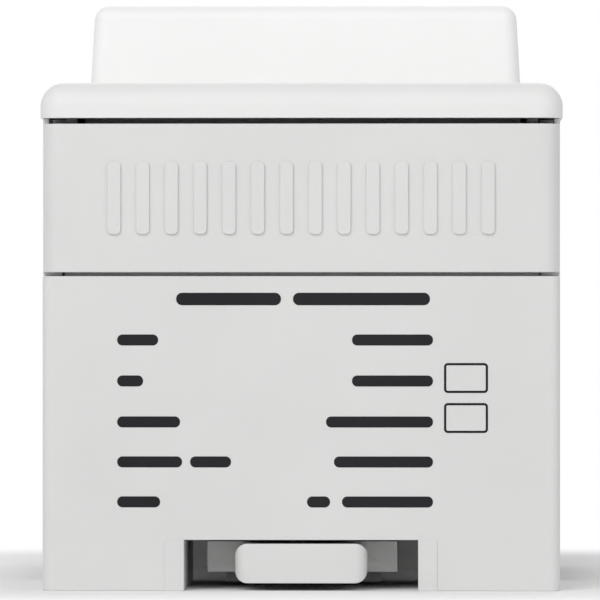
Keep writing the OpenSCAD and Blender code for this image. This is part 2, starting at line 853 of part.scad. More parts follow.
// Clamp cage that rises around its tongue
module terminal_cage(x) {
    color(zinc)
        difference() {
            along_y(screw_y, cage_l)
                translate([x, (cage_z0 + cage_z1) / 2])
                    round_rect(cage_w, cage_h, cage_r);
            block(
                [x - cage_w / 2 + cage_wall, cage_y0 - past, cage_z0 + cage_floor],
                [x + cage_w / 2 - cage_wall, cage_y1 + past, cage_z1 - cage_top]
            );
            translate([x, screw_y, cage_z1 - cage_top - past])
                cylinder(h = cage_top + 2 * past, r = screw_r + thread_gap);
        }
}

// Captive clamp screw with a cross recess
module terminal_screw(x) {
    tip_z = tongue_z1 + run_gap;
    color(zinc)
        translate([x, screw_y, 0])
            difference() {
                rotate_extrude()
                    polygon([
                        [0, tip_z],
                        [screw_r - screw_chamfer, tip_z],
                        [screw_r, tip_z + screw_chamfer],
                        [screw_r, head_z0],
                        [screw_head_r, head_z0],
                        [screw_head_r, screw_z1 - screw_chamfer],
                        [screw_head_r - screw_chamfer, screw_z1],
                        [0, screw_z1]
                    ]);
                for (a = [0, 90])
                    rotate([0, 0, a])
                        block(
                            [-cross_l / 2, -cross_w / 2, screw_z1 - cross_d],
                            [cross_l / 2, cross_w / 2, screw_z1 + past]
                        );
            }
}

// Tongue that a clamp cage closes on
module tongue(x, y0) {
    block([x - bar_w / 2, y0, tongue_z0], [x + bar_w / 2, tongue_y1, tongue_z1]);
}

// Frame over the varistors that guides the trip sliders
module carrier() {
    carrier_x = guide_x[phase_count];
    deck_y0 = anchor_y0;
    deck_y1 = mov_y1 + fit;
    color(block_grey)
        difference() {
            union() {
                for (x = [-carrier_x, carrier_x])
                    translate([x, 0, 0])
                        block([-carrier_t / 2, mov_y0, floor_z], [carrier_t / 2, deck_y1, deck_z0 + bite]);
                block(
                    [-carrier_x - carrier_t / 2, deck_y0, deck_z0],
                    [carrier_x + carrier_t / 2, deck_y1, deck_z1]
                );
                for (x = guide_x)
                    translate([x, 0, 0])
                        block([-carrier_t / 2, deck_y0, deck_z1 - bite], [carrier_t / 2, deck_y1, guide_z1]);
                // Anchors of the trip springs
                for (x = phase_x)
                    translate([x, 0, 0])
                        block(
                            [-pole_pitch / 2, anchor_y0, deck_z1 - bite],
                            [pole_pitch / 2, anchor_y1, anchor_z1]
                        );
                // Posts under the red backing
                for (i = [1:phase_count - 1])
                    translate([guide_x[i], window_y, 0])
                        block(
                            [-carrier_t / 2, -backing_post_l / 2, guide_z1 - bite],
                            [carrier_t / 2, backing_post_l / 2, backing_z0]
                        );
            }
            for (x = phase_x)
                translate([x, lug_y, 0])
                    block(
                        [-lug_t / 2 - run_gap, -lug_w / 2 - run_gap, deck_z0 - past],
                        [lug_t / 2 + run_gap, lug_w / 2 + run_gap, deck_z1 + past]
                    );
        }
}

// Varistor block with its top and common terminals
module varistor(x) {
    color(varistor_blue)
        union() {
            along_x(x, mov_t)
                translate([lug_y, (mov_z0 + mov_z1) / 2])
                    round_rect(mov_y1 - mov_y0, mov_h, mov_r);
            block(
                [x - lug_t / 2, lug_y - lug_w / 2, mov_z1 - bite],
                [x + lug_t / 2, lug_y + lug_w / 2, arm_z0]
            );
            block([x - lug_t / 2, common_y, common_z], [x + lug_t / 2, mov_y0 + bite, common_z + common_w]);
        }
}

// Quarter bend of the copper strip about the origin
module quarter_bend() {
    intersection() {
        difference() {
            circle(bar_bend_r + bar_t);
            circle(bar_bend_r);
        }
        square(bar_bend_r + bar_t);
    }
}

// Copper strip bent from a terminal's tongue up to the flange under its contact arm
module phase_bar(x) {
    flange_z0 = arm_z0 - bar_t;
    tongue_y0 = riser_y1 + bar_bend_r;
    flange_y1 = riser_y0 - bar_bend_r;
    color(copper)
        along_x(x, bar_w) {
            translate([tongue_y0, tongue_z0])
                square([tongue_y1 - tongue_y0, bar_t]);
            translate([tongue_y0, tongue_z1 + bar_bend_r])
                rotate(180)
                    quarter_bend();
            translate([riser_y0, tongue_z1 + bar_bend_r])
                square([bar_t, flange_z0 - tongue_z1 - 2 * bar_bend_r]);
            translate([flange_y1, flange_z0 - bar_bend_r])
                quarter_bend();
            translate([flange_y1 - flange_l, flange_z0])
                square([flange_l, bar_t]);
        }
}

// Spring arm that is soldered to the varistor's top terminal
module contact_arm(x) {
    arm_y0 = lug_y - lug_w / 2;
    arm_y1 = riser_y0 - bar_bend_r;
    color(copper)
        union() {
            block([x - arm_w / 2, arm_y0, arm_z0], [x + arm_w / 2, arm_y1, arm_z1]);
            translate([x, arm_y1 - flange_l / 2, arm_z1 - bite])
                cylinder(h = arm_t, r = rivet_r);
        }
}

// Side bar from an outer terminal to an end of the gas tube
module side_bar(x) {
    leg_y0 = tube_y - side_leg_w / 2;
    tongue(x, riser_y0);
    along_x(side_bar_x + bar_t / 2, bar_t) {
        translate([leg_y0, tongue_z1 - side_bar_w])
            square([riser_y1 - leg_y0, side_bar_w]);
        translate([leg_y0, tube_z - electrode_r / 2])
            square([side_leg_w, tongue_z1 - tube_z + electrode_r / 2]);
    }
}

module neutral_bar() {
    color(copper)
        union() {
            side_bar(pole_x[pole_count - 1]);
            // Cross strip along the varistors' common terminals
            block(
                [phase_x[0] - lug_t, common_y - bar_t, common_z],
                [side_bar_x + bar_t, common_y, common_z + common_w]
            );
            block(
                [side_bar_x, common_y - bar_t, common_z],
                [side_bar_x + bar_t, common_y - bar_t + side_leg_w, tongue_z1]
            );
        }
}

module earth_bar() {
    color(copper)
        mirror([1, 0, 0])
            side_bar(pole_x[pole_count - 1]);
}

module gas_tube() {
    ring_l = (tube_span - tube_l) / 4;
    color(ceramic_white)
        translate([0, tube_y, tube_z])
            rotate([0, 90, 0])
                rotate_extrude()
                    polygon([
                        [0, -tube_span / 2],
                        [electrode_r, -tube_span / 2],
                        [electrode_r, -tube_l / 2 - ring_l],
                        [tube_r - ring_step, -tube_l / 2 - ring_l],
                        [tube_r - ring_step, -tube_l / 2],
                        [tube_r, -tube_l / 2],
                        [tube_r, tube_l / 2],
                        [tube_r - ring_step, tube_l / 2],
                        [tube_r - ring_step, tube_l / 2 + ring_l],
                        [electrode_r, tube_l / 2 + ring_l],
                        [electrode_r, tube_span / 2],
                        [0, tube_span / 2]
                    ]);
}

// Indicator that leaves its window when its spring pulls it back
module trip_slider(x) {
    color(flag_green)
        translate([x, 0, 0]) {
            block([-foot_w / 2, foot_y0, foot_z0], [foot_w / 2, foot_y1, foot_z1]);
            block(
                [-post_flag_w / 2, foot_y0, foot_z1 - bite],
                [post_flag_w / 2, foot_y0 + post_flag_t, flag_z0 + bite]
            );
            block([-flag_w / 2, foot_y0, flag_z0], [flag_w / 2, flag_y1, flag_z1]);
        }
}

module trip_spring(x) {
    color(zinc)
        translate([x, foot_y0 - run_gap, trip_axis_z])
            rotate([90, 0, 0])
                coil(trip_coil_l, trip_coil_r, trip_wire_r, trip_coil_turns);
}

module fault_backing() {
    color(fault_red)
        block(
            [phase_x[0] - flag_w / 2, window_y - flag_w / 2, backing_z0],
            [phase_x[phase_count - 1] + flag_w / 2, window_y + flag_w / 2, backing_z1]
        );
}

// Clear window with its flange under the nose
module window(x) {
    lens = window_w / 2 - fit / 2;
    rim = window_w / 2 + flange_w;
    color(clear_grey)
        translate([x, window_y, 0]) {
            block([-lens, -lens, nose_under - bite], [lens, lens, nose_z - fit]);
            block([-rim, -rim, window_flange_z], [rim, rim, nose_under]);
        }
}

base();
front_cover();
closed_guard();
terminal_guard();
rail_clip();
clip_spring();
terminal_block();
carrier();
neutral_bar();
earth_bar();
gas_tube();
fault_backing();
for (i = [1:pole_count]) {
    terminal_cage(pole_x[i - 1]);
    terminal_screw(pole_x[i - 1]);
}
for (i = [1:phase_count]) {
    varistor(phase_x[i - 1]);
    phase_bar(phase_x[i - 1]);
    contact_arm(phase_x[i - 1]);
    trip_slider(phase_x[i - 1]);
    trip_spring(phase_x[i - 1]);
    window(phase_x[i - 1]);
}
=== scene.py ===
import json
import math

import bmesh
import bpy
from mathutils import Matrix, Vector


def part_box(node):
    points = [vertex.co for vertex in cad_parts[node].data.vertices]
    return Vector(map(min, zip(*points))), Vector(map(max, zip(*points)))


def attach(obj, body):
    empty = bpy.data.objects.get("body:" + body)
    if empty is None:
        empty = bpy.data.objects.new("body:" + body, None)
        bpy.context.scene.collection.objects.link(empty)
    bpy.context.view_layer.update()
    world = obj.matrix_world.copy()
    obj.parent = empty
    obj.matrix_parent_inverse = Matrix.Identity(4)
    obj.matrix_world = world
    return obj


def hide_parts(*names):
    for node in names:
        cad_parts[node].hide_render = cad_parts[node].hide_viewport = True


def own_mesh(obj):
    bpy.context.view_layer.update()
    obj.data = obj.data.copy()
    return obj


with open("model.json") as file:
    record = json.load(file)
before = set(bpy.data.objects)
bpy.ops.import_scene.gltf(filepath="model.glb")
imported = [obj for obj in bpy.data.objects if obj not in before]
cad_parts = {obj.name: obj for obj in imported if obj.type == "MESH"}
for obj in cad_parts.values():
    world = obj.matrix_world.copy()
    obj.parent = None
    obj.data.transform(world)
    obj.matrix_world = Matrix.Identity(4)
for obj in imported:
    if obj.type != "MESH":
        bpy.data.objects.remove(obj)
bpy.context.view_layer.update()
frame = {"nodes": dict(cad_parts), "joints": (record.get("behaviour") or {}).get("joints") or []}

MM = 0.001

# Places that the frame gives
BASE_LOW, BASE_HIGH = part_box("base")
COVER_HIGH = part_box("front_cover")[1]
END_WALL_Y = -BASE_HIGH.y
JOINTS = {joint["name"]: joint for joint in frame["joints"]}
POLES = range(1, 6)
PHASES = range(1, 4)

# Photograph: scale on the end wall, and where the wall's middle and foot lie in the 600 pixel frame
PHOTO_SIZE = 600
PIXELS_PER_MM = 9.6
WALL_MIDDLE_PX = 301
FOOT_PX = 591


def wall_x(pixel):
    """X on the end wall of a pixel column of the photograph."""
    return (pixel - WALL_MIDDLE_PX) / PIXELS_PER_MM * MM


def wall_z(pixel):
    """Z on the end wall of a pixel row of the photograph."""
    return (FOOT_PX - pixel) / PIXELS_PER_MM * MM


# Shader nodes

NOISE_LOW = 0.3
NOISE_HIGH = 0.7


def fill_socket(tree, socket, value):
    """Sets a socket to a number, or links it to another socket."""
    if isinstance(value, (int, float)):
        socket.default_value = value
    else:
        tree.links.new(value, socket)


def object_place(tree):
    """The Object coordinates."""
    return tree.nodes.new("ShaderNodeTexCoord").outputs["Object"]


def noise(tree, vector, scale, detail=2.0, roughness=0.5):
    """A noise texture on a vector."""
    node = tree.nodes.new("ShaderNodeTexNoise")
    tree.links.new(vector, node.inputs["Vector"])
    fill_socket(tree, node.inputs["Scale"], scale)
    fill_socket(tree, node.inputs["Detail"], detail)
    fill_socket(tree, node.inputs["Roughness"], roughness)
    return node.outputs["Fac"]


def spread(tree, value, low, high):
    """The main range of a noise value spread between two numbers or sockets."""
    node = tree.nodes.new("ShaderNodeMapRange")
    tree.links.new(value, node.inputs["Value"])
    fill_socket(tree, node.inputs["From Min"], NOISE_LOW)
    fill_socket(tree, node.inputs["From Max"], NOISE_HIGH)
    fill_socket(tree, node.inputs["To Min"], low)
    fill_socket(tree, node.inputs["To Max"], high)
    return node.outputs["Result"]


def smooth_rise(tree, value, start, end):
    """A smooth step from 0 to 1 as a value goes from start to end."""
    node = tree.nodes.new("ShaderNodeMapRange")
    node.interpolation_type = "SMOOTHSTEP"
    tree.links.new(value, node.inputs["Value"])
    fill_socket(tree, node.inputs["From Min"], start)
    fill_socket(tree, node.inputs["From Max"], end)
    return node.outputs["Result"]


def arithmetic(tree, operation, first, second):
    """A Math node between two numbers or sockets."""
    node = tree.nodes.new("ShaderNodeMath")
    node.operation = operation
    fill_socket(tree, node.inputs[0], first)
    fill_socket(tree, node.inputs[1], second)
    return node.outputs["Value"]


def vector_step(tree, operation, first, second=(0, 0, 0)):
    """A Vector Math node between a socket and a fixed vector."""
    node = tree.nodes.new("ShaderNodeVectorMath")
    node.operation = operation
    tree.links.new(first, node.inputs[0])
    node.inputs[1].default_value = second
    return node


def tinted(tree, colour, factor):
    """A colour made lighter or darker by a factor."""
    node = vector_step(tree, "SCALE", colour)
    tree.links.new(factor, node.inputs["Scale"])
    return node.outputs["Vector"]


def bumped(tree, height, strength, distance):
    """A normal raised by a height."""
    node = tree.nodes.new("ShaderNodeBump")
    node.inputs["Distance"].default_value = distance
    tree.links.new(strength, node.inputs["Strength"])
    tree.links.new(height, node.inputs["Height"])
    return node.outputs["Normal"]


# Surface groups: each gives a colour, a roughness and a normal

def surface_group(name, colour, numbers):
    """A node group with a colour and named numbers as inputs, and its input and output nodes."""
    group = bpy.data.node_groups.new(name, "ShaderNodeTree")
    shade = group.interface.new_socket("Colour", in_out="INPUT", socket_type="NodeSocketColor")
    shade.default_value = (*colour, 1)
    for label, value in numbers.items():
        socket = group.interface.new_socket(label, in_out="INPUT", socket_type="NodeSocketFloat")
        socket.default_value = value
    for label, kind in (("Colour", "Color"), ("Roughness", "Float"), ("Normal", "Vector")):
        group.interface.new_socket(label, in_out="OUTPUT", socket_type=f"NodeSocket{kind}")
    return group, group.nodes.new("NodeGroupInput"), group.nodes.new("NodeGroupOutput")


def make_moulded_surface():
    """Moulded plastic: spark eroded grain, faint flow clouds and a little uneven sheen."""
    numbers = {"Cloud": 0.02, "Roughness": 0.45, "Grain Scale": 5200.0, "Grain Depth": 0.12}
    group, start, end = surface_group("moulded_surface", (0.7, 0.7, 0.7), numbers)
    place = object_place(group)
    cloud = noise(group, place, scale=70, detail=3)
    darkest = arithmetic(group, "SUBTRACT", 1.0, start.outputs["Cloud"])
    lightest = arithmetic(group, "ADD", 1.0, start.outputs["Cloud"])
    colour = tinted(group, start.outputs["Colour"], spread(group, cloud, darkest, lightest))
    grain = noise(group, place, start.outputs["Grain Scale"], detail=2, roughness=0.6)
    sheen = arithmetic(group, "ADD", start.outputs["Roughness"], spread(group, grain, low=-0.05, high=0.05))
    normal = bumped(group, grain, start.outputs["Grain Depth"], distance=0.05 * MM)
    group.links.new(colour, end.inputs["Colour"])
    group.links.new(sheen, end.inputs["Roughness"])
    group.links.new(normal, end.inputs["Normal"])
    return group


def make_metal_surface():
    """Plated or drawn metal: fine streaks along Y, dull spots and uneven gloss."""
    numbers = {"Dulling": 0.12, "Roughness": 0.3, "Streak Depth": 0.2}
    group, start, end = surface_group("metal_surface", (0.6, 0.6, 0.6), numbers)
    place = object_place(group)
    stretch = group.nodes.new("ShaderNodeMapping")
    stretch.inputs["Scale"].default_value = (1, 0.06, 1)
    group.links.new(place, stretch.inputs["Vector"])
    streak = noise(group, stretch.outputs["Vector"], scale=6000, detail=2, roughness=0.7)
    spots = noise(group, place, scale=420, detail=3, roughness=0.6)
    dullest = arithmetic(group, "SUBTRACT", 1.0, start.outputs["Dulling"])
    colour = tinted(group, start.outputs["Colour"], spread(group, spots, dullest, 1.0))
    sheen = arithmetic(group, "ADD", start.outputs["Roughness"], spread(group, spots, low=0.1, high=-0.06))
    normal = bumped(group, streak, start.outputs["Streak Depth"], distance=0.03 * MM)
    group.links.new(colour, end.inputs["Colour"])
    group.links.new(sheen, end.inputs["Roughness"])
    group.links.new(normal, end.inputs["Normal"])
    return group


MOULDED_SURFACE = make_moulded_surface()
METAL_SURFACE = make_metal_surface()


# Materials

NOSE_HEIGHT = 9 * MM
# Width of the blend between the lip's painted shade and the nose's colour
LIP_SHADE_FADE = 0.4 * MM


def surface_material(name, group, colour, numbers, constants):
    """A Principled material with a surface group, and constants on the shader's own sockets."""
    material = bpy.data.materials.new(name)
    material.use_nodes = True
    tree = material.node_tree
    shader = tree.nodes["Principled BSDF"]
    surface = tree.nodes.new("ShaderNodeGroup")
    surface.name = "surface"
    surface.node_tree = group
    surface.inputs["Colour"].default_value = (*colour, 1)
    for label, value in numbers.items():
        surface.inputs[label].default_value = value
    for label, value in constants.items():
        shader.inputs[label].default_value = value
    tree.links.new(surface.outputs["Colour"], shader.inputs["Base Color"])
    tree.links.new(surface.outputs["Roughness"], shader.inputs["Roughness"])
    tree.links.new(surface.outputs["Normal"], shader.inputs["Normal"])
    return material


def plastic(name, colour, roughness=0.45, cloud=0.02, grain_depth=0.12, shine=0.5):
    """Moulded plastic of one colour."""
    numbers = {"Roughness": roughness, "Cloud": cloud, "Grain Depth": grain_depth}
    constants = {"IOR": 1.5, "Specular IOR Level": shine}
    return surface_material(name, MOULDED_SURFACE, colour, numbers, constants)


def metal(name, colour, roughness=0.3, dulling=0.12, streak_depth=0.2):
    """Bare or plated metal of one colour."""
    numbers = {"Roughness": roughness, "Dulling": dulling, "Streak Depth": streak_depth}
    return surface_material(name, METAL_SURFACE, colour, numbers, {"Metallic": 1.0})


def cover_plastic_with_painted_lip_shade(name, lip_painted_shade_colour, nose_colour):
    """Moulded cover with painted shade: its lip is coloured a shade darker than its nose, standing in for
    the shade on the lip's curved face.
    """
    material = plastic(name, lip_painted_shade_colour, roughness=0.55, cloud=0.012)
    tree = material.node_tree
    split = tree.nodes.new("ShaderNodeSeparateXYZ")
    tree.links.new(object_place(tree), split.inputs["Vector"])
    # Painted shade: below the nose the colour turns to the darker lip colour
    nose_foot = COVER_HIGH.z - NOSE_HEIGHT
    rise = smooth_rise(tree, split.outputs["Z"], nose_foot, nose_foot + LIP_SHADE_FADE)
    mix = tree.nodes.new("ShaderNodeMix")
    mix.data_type = "RGBA"
    mix.inputs["A"].default_value = (*lip_painted_shade_colour, 1)
    mix.inputs["B"].default_value = (*nose_colour, 1)
    tree.links.new(rise, mix.inputs["Factor"])
    tree.links.new(mix.outputs["Result"], tree.nodes["surface"].inputs["Colour"])
    return material


def clear_plastic(name):
    """Clear moulded window with a faint polish haze."""
    material = bpy.data.materials.new(name)
    material.use_nodes = True
    tree = material.node_tree
    shader = tree.nodes["Principled BSDF"]
    shader.inputs["Base Color"].default_value = (0.93, 0.96, 0.97, 1)
    shader.inputs["Transmission Weight"].default_value = 1.0
    shader.inputs["IOR"].default_value = 1.49
    polish = noise(tree, object_place(tree), scale=900, detail=3)
    haze = spread(tree, polish, low=0.02, high=0.09)
    tree.links.new(haze, shader.inputs["Roughness"])
    return material


GREY_HOUSING = plastic("grey_housing", (0.70, 0.70, 0.695))
# The cover's lip colour is painted shade, darker than the nose colour of the same plastic
WHITE_COVER = cover_plastic_with_painted_lip_shade("white_cover", (0.80, 0.80, 0.795), (0.915, 0.915, 0.91))
DARK_INSULATOR = plastic("dark_insulator", (0.10, 0.105, 0.115), roughness=0.5, cloud=0.08)
FLAG_GREEN = plastic("flag_green", (0.03, 0.33, 0.07), roughness=0.4, cloud=0.05)
FAULT_RED = plastic("fault_red", (0.75, 0.03, 0.02), roughness=0.4, cloud=0.05)
BLUE_EPOXY = plastic("blue_epoxy", (0.03, 0.12, 0.34), roughness=0.25, cloud=0.12, grain_depth=0.4)
WHITE_CERAMIC = plastic("white_ceramic", (0.80, 0.77, 0.70), roughness=0.3, cloud=0.05)
BLACK_INK = plastic(
    "black_ink", (0.018, 0.018, 0.02), roughness=0.6, cloud=0.15, grain_depth=0.3, shine=0.12,
)
ZINC_PLATE = metal("zinc_plate", (0.52, 0.53, 0.55), roughness=0.32, dulling=0.2)
SPRING_WIRE = metal("spring_wire", (0.42, 0.42, 0.43), roughness=0.28)
BARE_COPPER = metal("bare_copper", (0.78, 0.40, 0.24), roughness=0.32, dulling=0.3)
CLEAR_WINDOW = clear_plastic("clear_window")


# Mesh helpers

SHARP = math.radians(30)
FLAT = math.radians(0.5)
WELD = 0.002 * MM
TOUCH = 0.02 * MM
CUT_SKIN = 0.02 * MM


def near(value, *others):
    """True where a value is within a touch of one of the others."""
    return any(abs(value - other) < TOUCH for other in others)


def merge(bm):
    """Closes the seams of a mesh and makes its flat faces whole."""
    bmesh.ops.remove_doubles(bm, verts=bm.verts, dist=WELD)
    bmesh.ops.dissolve_limit(bm, angle_limit=FLAT, verts=bm.verts, edges=bm.edges)


def merged_copy(node):
    """A merged bmesh of a CAD node."""
    bm = bmesh.new()
    bm.from_mesh(frame["nodes"][node].data)
    merge(bm)
    return bm


def round_over(bm, geom, width, segments, affect="EDGES"):
    """A round bevel on edges or corners."""
    return bmesh.ops.bevel(
        bm, geom=geom, offset=width, offset_type="OFFSET", affect=affect, segments=segments,
        profile=0.5, clamp_overlap=True, material=-1,
    )


def is_outward(edge):
    """True for a sharp edge that points out of its solid."""
    return len(edge.link_faces) == 2 and edge.is_convex and edge.calc_face_angle(0) >= SHARP


def soften(bm, width, wanted=None, segments=3):
    """Rounds the outward sharp edges, or those of them whose middle passes a test."""
    edges = [edge for edge in bm.edges if is_outward(edge)]
    if wanted:
        edges = [edge for edge in edges if wanted((edge.verts[0].co + edge.verts[1].co) / 2)]
    round_over(bm, edges, width, segments)


def close_rims(bm):
    """Fills every open rim with a face."""
    rims = [edge for edge in bm.edges if edge.is_boundary]
    bmesh.ops.holes_fill(bm, edges=rims, sides=0)


def cut_away(bm, place, side):
    """Removes what lies on one side of a plane, which lies on no face, and closes the cut."""
    everything = bm.verts[:] + bm.edges[:] + bm.faces[:]
    bmesh.ops.bisect_plane(bm, geom=everything, plane_co=place, plane_no=side, clear_outer=True)
    close_rims(bm)


def placed(name, bm, material):
    """An object in the scene from a bmesh."""
    mesh = bpy.data.meshes.new(name)
    bm.to_mesh(mesh)
    bm.free()
    mesh.materials.append(material)
    obj = bpy.data.objects.new(name, mesh)
    bpy.context.scene.collection.objects.link(obj)
    return obj


def piece(name, bm, material, body, node=None, even_normals=True):
    """A finished piece that rides on its body and may stand for a CAD node."""
    obj = placed(name, bm, material)
    obj.data.shade_smooth()
    obj.data.set_sharp_from_angle(angle=SHARP)
    if even_normals:
        even = obj.modifiers.new("even_normals", "WEIGHTED_NORMAL")
        even.keep_sharp = True
    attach(obj, body)
    if node:
        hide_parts(node)
    return obj


def softened_node(node, name, material, width, body="housing"):
    """A CAD node with all its outward edges rounded."""
    bm = merged_copy(node)
    soften(bm, width)
    piece(name, bm, material, body, node)


# Housing shells

BASE_EDGE = 0.22 * MM
GUARD_EDGE = 0.2 * MM
COVER_EDGE = 0.15 * MM
CLIP_EDGE = 0.3 * MM
GUARD_CORNER_R = 1.9 * MM
LIP_HEIGHT = 3.7 * MM
LIP_Z = COVER_HIGH.z - NOSE_HEIGHT - LIP_HEIGHT
RIM_GAP = 0.2 * MM
STOP_THICKNESS = 0.6 * MM


def make_base():
    """Base with its outer edges, rim and notch rounded as a mould leaves them."""
    bm = merged_copy("base")

    def outer(middle):
        at_side = near(abs(middle.x), BASE_HIGH.x)
        at_end = near(middle.y, BASE_LOW.y, END_WALL_Y, BASE_HIGH.y)
        at_level = near(middle.z, BASE_LOW.z, BASE_HIGH.z)
        return at_side or at_end or at_level

    soften(bm, BASE_EDGE, outer)
    piece("base_shell", bm, GREY_HOUSING, "housing", "base")


def make_guard(node, name):
    """End guard with soft edges, rims that reach base and lip, and stops brought up to its corners."""
    bm = merged_copy(node)
    for level, side in ((BASE_HIGH.z, 1), (LIP_Z, -1)):
        rims = [vert for vert in bm.verts if near(vert.co.z, level + side * RIM_GAP)]
        bmesh.ops.translate(bm, verts=rims, vec=(0, 0, side * (CUT_SKIN - RIM_GAP)))
    low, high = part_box(node)
    stop_y = min(abs(low.y), abs(high.y)) + STOP_THICKNESS
    stops = [vert for vert in bm.verts if near(abs(vert.co.y), stop_y)]
    advance = BASE_HIGH.y - GUARD_CORNER_R - stop_y
    bmesh.ops.translate(bm, verts=stops, vec=(0, math.copysign(advance, low.y), 0))
    merge(bm)
    soften(bm, GUARD_EDGE)
    piece(name, bm, GREY_HOUSING, "housing", node)


make_base()
make_guard("closed_guard", "closed_end_guard")
make_guard("terminal_guard", "cable_end_guard")
softened_node("front_cover", "cover_shell", WHITE_COVER, COVER_EDGE)
softened_node("rail_clip", "clip_slider", GREY_HOUSING, CLIP_EDGE, body="clip")


# Insulation, conductors and indicators

INSULATOR_EDGE = 0.15 * MM
BAR_EDGE = 0.1 * MM
ARM_EDGE = 0.08 * MM
FLAG_EDGE = 0.12 * MM
LENS_EDGE = 0.25 * MM
CAGE_EDGE = 0.12 * MM

softened_node("terminal_block", "terminal_comb", DARK_INSULATOR, INSULATOR_EDGE)
softened_node("carrier", "varistor_carrier", DARK_INSULATOR, INSULATOR_EDGE)
softened_node("neutral_bar", "neutral_strip", BARE_COPPER, BAR_EDGE)
softened_node("earth_bar", "earth_strip", BARE_COPPER, BAR_EDGE)
softened_node("fault_backing", "fault_strip", FAULT_RED, FLAG_EDGE)
for i in PHASES:
    softened_node(f"phase_bar_{i}", f"phase_strip_{i}", BARE_COPPER, BAR_EDGE)
    softened_node(f"contact_arm_{i}", f"spring_arm_{i}", BARE_COPPER, ARM_EDGE)
    softened_node(f"trip_slider_{i}", f"trip_flag_{i}", FLAG_GREEN, FLAG_EDGE, f"trip_{i}")
    softened_node(f"window_{i}", f"clear_lens_{i}", CLEAR_WINDOW, LENS_EDGE)
for i in POLES:
    softened_node(f"terminal_cage_{i}", f"clamp_cage_{i}", ZINC_PLATE, CAGE_EDGE, f"cage_{i}")


# Varistors and gas tube

LUG_RISE = 4.2 * MM
COMMON_REACH = 1.9 * MM
COAT_EDGE = 0.9 * MM
LUG_EDGE = 0.15 * MM
TUBE_HALF = 12 * MM
CERAMIC_EDGE = 0.4 * MM
ELECTRODE_EDGE = 0.3 * MM


def make_varistor(i):
    """Epoxy coated block with a soft edge, and its two tinned terminals."""
    node = f"varistor_{i}"
    low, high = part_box(node)
    top = Vector((0, 0, high.z - LUG_RISE + CUT_SKIN))
    back = Vector((0, low.y + COMMON_REACH - CUT_SKIN, 0))
    block = merged_copy(node)
    cut_away(block, top, (0, 0, 1))
    cut_away(block, back, (0, -1, 0))
    soften(block, COAT_EDGE, lambda middle: near(middle.x, low.x, high.x), segments=4)
    piece(f"varistor_block_{i}", block, BLUE_EPOXY, "housing", node)
    for label, place, side in (("top", top, (0, 0, -1)), ("common", back, (0, 1, 0))):
        lug = merged_copy(node)
        cut_away(lug, place, side)
        soften(lug, LUG_EDGE)
        piece(f"varistor_{label}_lug_{i}", lug, ZINC_PLATE, "housing")


def make_gas_tube():
    """Ceramic tube with a metal electrode at each end."""
    ceramic = merged_copy("gas_tube")
    for label, side in (("left", -1), ("right", 1)):
        end = (side * (TUBE_HALF + CUT_SKIN), 0, 0)
        cut_away(ceramic, end, (side, 0, 0))
        electrode = merged_copy("gas_tube")
        cut_away(electrode, end, (-side, 0, 0))
        soften(electrode, ELECTRODE_EDGE)
        piece(f"tube_electrode_{label}", electrode, ZINC_PLATE, "housing")
    soften(ceramic, CERAMIC_EDGE)
    piece("tube_ceramic", ceramic, WHITE_CERAMIC, "housing", "gas_tube")


for i in PHASES:
    make_varistor(i)
make_gas_tube()


# Clamp screws

HEAD_HEIGHT = 2.2 * MM
HEAD_EDGE = 0.12 * MM
CORE_SIDES = 32
TIP_EDGE = 0.25 * MM
THREAD_PITCH = 0.8 * MM
THREAD_CREST = 2.45 * MM
THREAD_ROOT = 2.0 * MM
THREAD_SINK = 0.1 * MM
THREAD_START = 0.3 * MM
THREAD_STEPS = 20

# Outline of the thread's ridge: radius, and rise as a share of the pitch
RIDGE_OUTLINE = (
    (THREAD_ROOT - THREAD_SINK, 0),
    (THREAD_CREST, 0.42),
    (THREAD_CREST, 0.54),
    (THREAD_ROOT - THREAD_SINK, 0.96),
)


def add_thread(bm, foot, top_z):
    """A helical ridge round the core, from a foot on the screw's axis up to below a level."""
    turns = math.floor((top_z - foot.z) / THREAD_PITCH - 1)
    steps = THREAD_STEPS * turns
    corners = [
        bm.verts.new(foot + Vector((radius, 0, share * THREAD_PITCH))) for radius, share in RIDGE_OUTLINE
    ]
    sides = [bm.edges.new(pair) for pair in zip(corners, corners[1:] + corners[:1])]
    bmesh.ops.spin(
        bm, geom=corners + sides, cent=foot, axis=(0, 0, 1), angle=2 * math.pi * turns, steps=steps,
        dvec=(0, 0, THREAD_PITCH * turns / steps),
    )
    close_rims(bm)
    bmesh.ops.recalc_face_normals(bm, faces=bm.faces)


def make_screw(i):
    """Clamp screw: head with its cross recess, core and thread."""
    node = f"terminal_screw_{i}"
    low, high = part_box(node)
    middle = (low + high) / 2
    neck = high.z - HEAD_HEIGHT
    head = merged_copy(node)
    cut_away(head, (0, 0, neck - CUT_SKIN), (0, 0, -1))
    soften(head, HEAD_EDGE)
    piece(f"screw_head_{i}", head, ZINC_PLATE, f"screw_{i}", node)

    shank = bmesh.new()
    place = Matrix.Translation((middle.x, middle.y, (low.z + neck) / 2))
    bmesh.ops.create_cone(
        shank, cap_ends=True, segments=CORE_SIDES, radius1=THREAD_ROOT, radius2=THREAD_ROOT,
        depth=neck - low.z, matrix=place,
    )
    soften(shank, TIP_EDGE)
    add_thread(shank, Vector((middle.x, middle.y, low.z + THREAD_START)), neck)
    piece(f"screw_thread_{i}", shank, ZINC_PLATE, f"screw_{i}")


for i in POLES:
    make_screw(i)


# Coil springs

COIL_TURNS = 9
COIL_STEPS = 24
COIL_SIDES = 10
CLIP_WIRE_R = 0.3 * MM
TRIP_WIRE_R = 0.22 * MM


